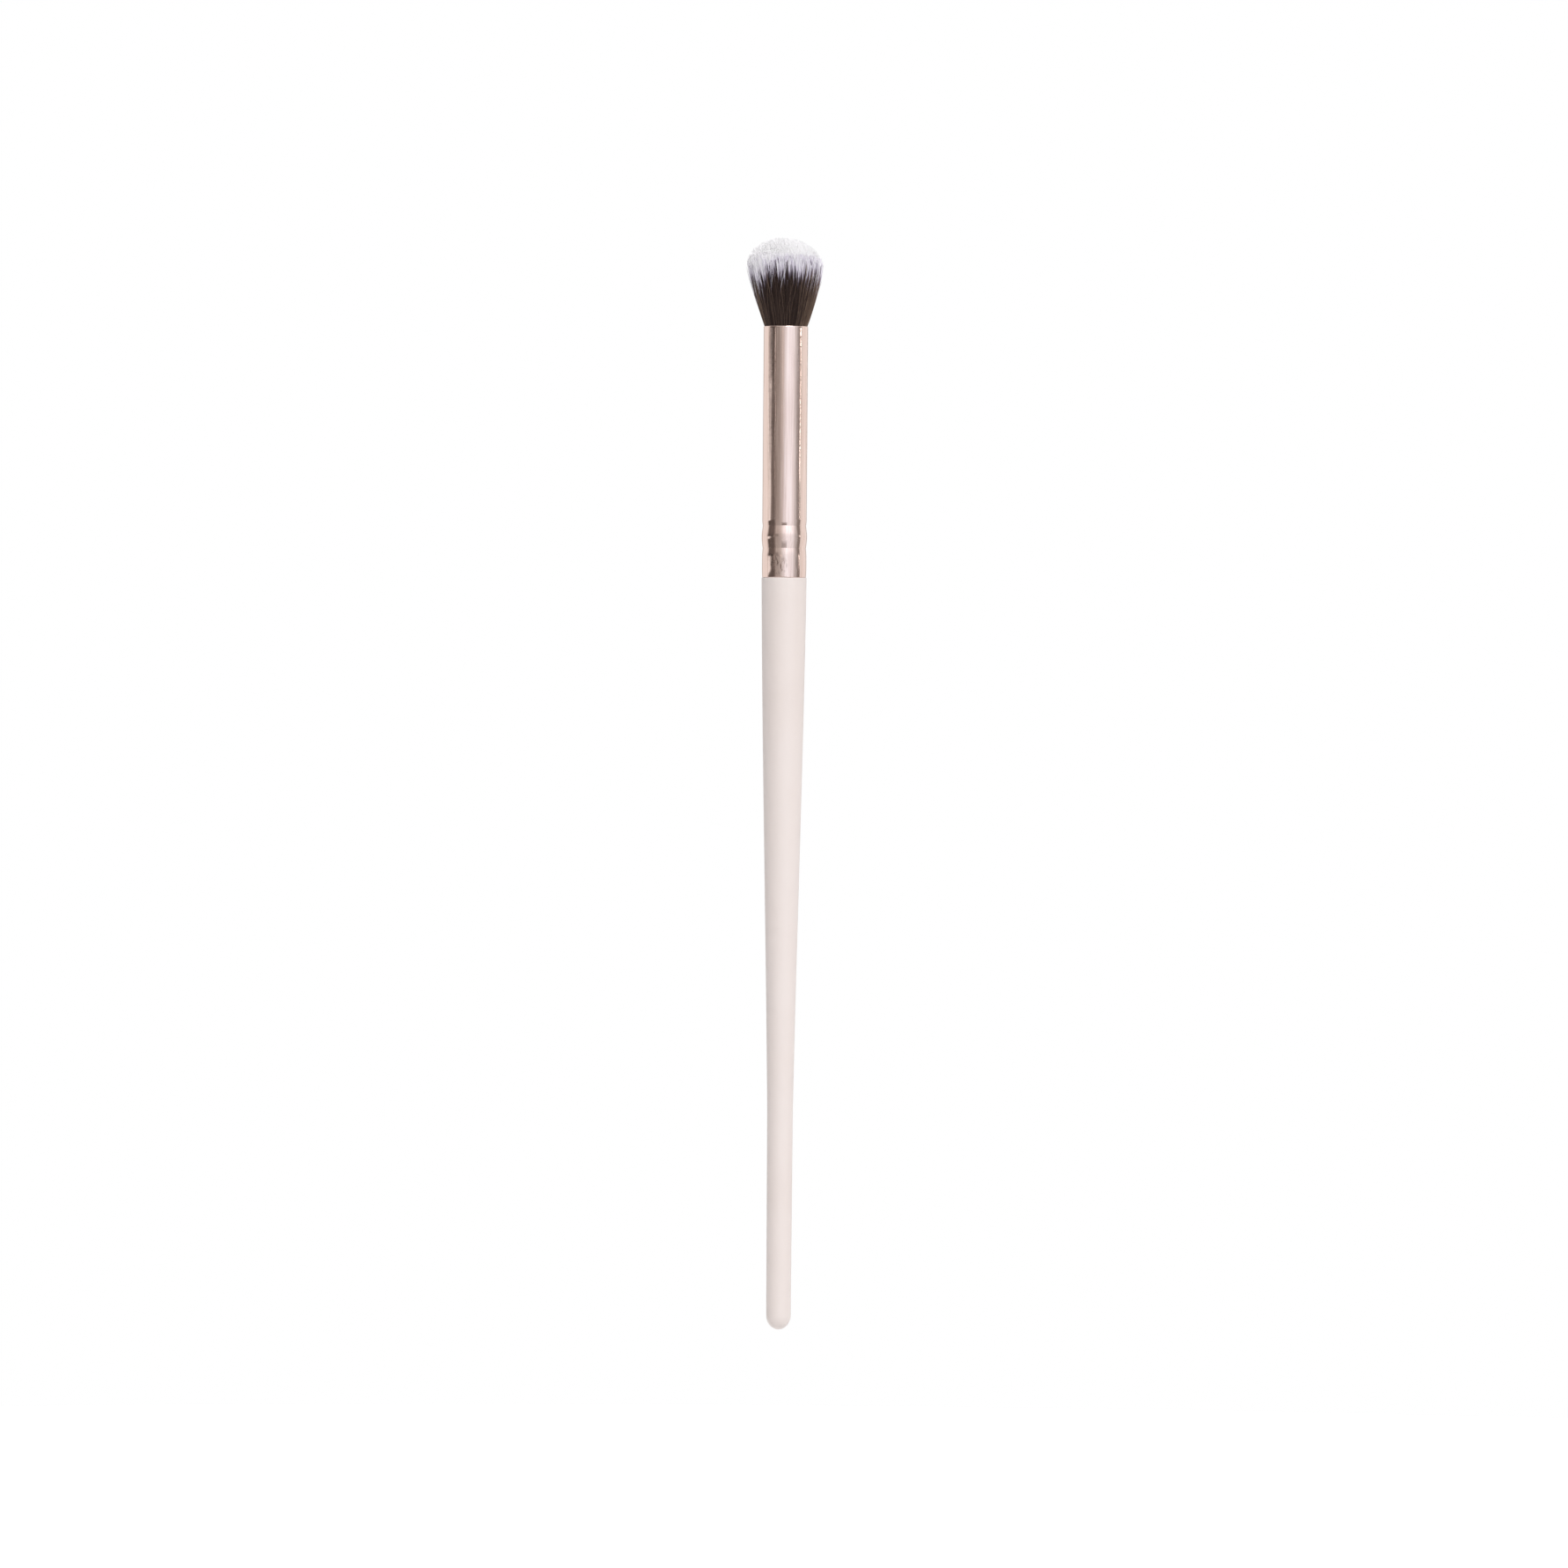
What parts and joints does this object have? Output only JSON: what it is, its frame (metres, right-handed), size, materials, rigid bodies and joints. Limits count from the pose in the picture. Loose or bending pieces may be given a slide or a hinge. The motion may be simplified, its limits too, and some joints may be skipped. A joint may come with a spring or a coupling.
{
  "type": "blending brush",
  "caption": "Slim cosmetic blending brush with a tapered turned handle, a crimped tubular metal ferrule and a flared, dome-trimmed two-tone fibre tuft.",
  "frame": {"origin": "the lowest point of the handle's round tail, on the brush's axis, where it stands in a holder", "axes": "+Z along the brush's axis from the tail to the tuft; X and Y are any two directions across it, because the brush is round"},
  "size_m": [0.0121, 0.012, 0.1751],
  "materials": {
    "lacquered_handle": "satin cream lacquer",
    "ferrule_metal": "bright champagne anodised",
    "set_resin": "set amber resin",
    "tuft_fibre": "fine filament, dark below with white tips"
  },
  "bodies": {
    "root": {"handle": "lacquered_handle", "ferrule": "ferrule_metal", "glued_roots": "set_resin", "bristles": "tuft_fibre"}
  },
  "joints": []
}
